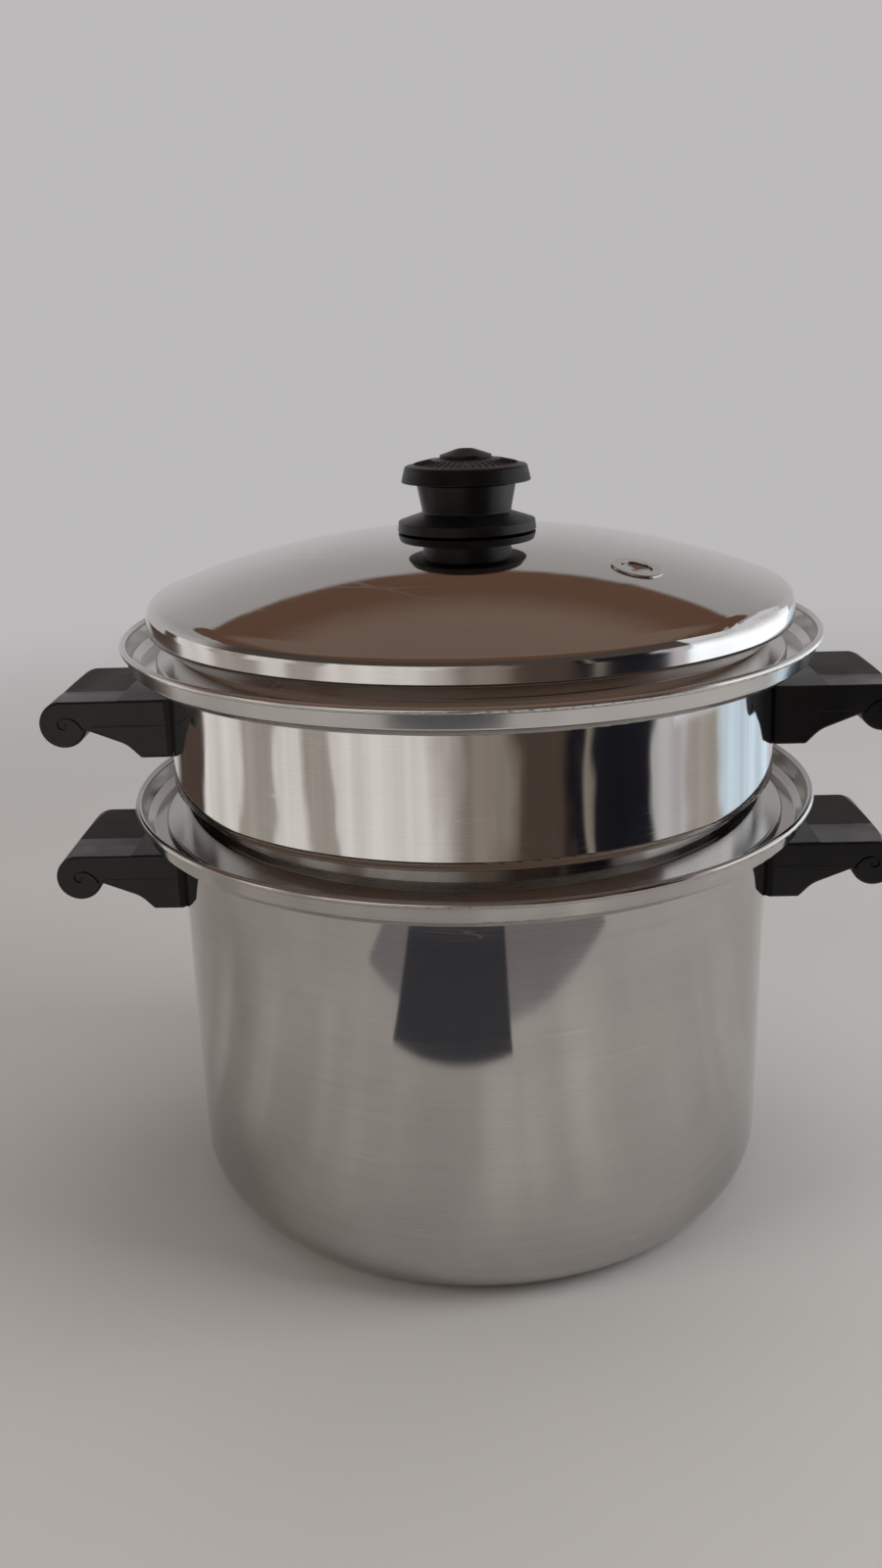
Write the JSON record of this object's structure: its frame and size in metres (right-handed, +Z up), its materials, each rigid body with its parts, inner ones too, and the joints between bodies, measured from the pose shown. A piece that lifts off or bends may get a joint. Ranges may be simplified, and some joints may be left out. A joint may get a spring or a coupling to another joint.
{
  "type": "steamer pot",
  "caption": "Stacked stainless stockpot, perforated steamer pan and domed lid with a vent valve, black knob and black scroll-ended side handles, for boiling and steaming.",
  "frame": {"origin": "centre of the stockpot's flat base", "axes": "+Z up the common axis of the pots and the lid, +X through the right-hand handles, -Y towards the front"},
  "size_m": [0.3212, 0.26, 0.2849],
  "materials": {
    "satin_steel": "satin, turned round the wall",
    "polished_steel": "mirror polished",
    "moulded_black": "semi-gloss moulded phenolic",
    "fastener_steel": "plain",
    "valve_steel": "polished"
  },
  "bodies": {
    "stockpot": {"stockpot_shell": "satin_steel", "stockpot_handle_left": "moulded_black", "stockpot_handle_right": "moulded_black", "stockpot_bracket_left": "fastener_steel", "stockpot_bracket_right": "fastener_steel", "stockpot_handle_screws": "fastener_steel", "stockpot_handle_washers": "fastener_steel"},
    "steamer": {"steamer_pan": "polished_steel", "steamer_handle_left": "moulded_black", "steamer_handle_right": "moulded_black", "steamer_bracket_left": "fastener_steel", "steamer_bracket_right": "fastener_steel", "steamer_handle_screws": "fastener_steel", "steamer_handle_washers": "fastener_steel"},
    "lid": {"lid_cover": "polished_steel", "lid_skirt": "polished_steel", "knob_stud": "fastener_steel", "lid_knob": "moulded_black", "knob_washer": "fastener_steel", "knob_screw": "fastener_steel", "knob_cap": "moulded_black", "vent_bushing": "valve_steel"},
    "vent": {"vent_cap": "valve_steel", "vent_clip": "fastener_steel"}
  },
  "joints": [
    {"name": "steamer_lift", "type": "slide", "parent": "stockpot", "child": "steamer", "axis": [0, 0, 1], "range_m": [0, 0.12]},
    {"name": "lid_lift", "type": "slide", "parent": "steamer", "child": "lid", "axis": [0, 0, 1], "range_m": [0, 0.12]},
    {"name": "vent_lift", "type": "slide", "parent": "lid", "child": "vent", "axis": [0.1657, -0.1529, 0.9742], "range_m": [0, 0.0015]}
  ]
}
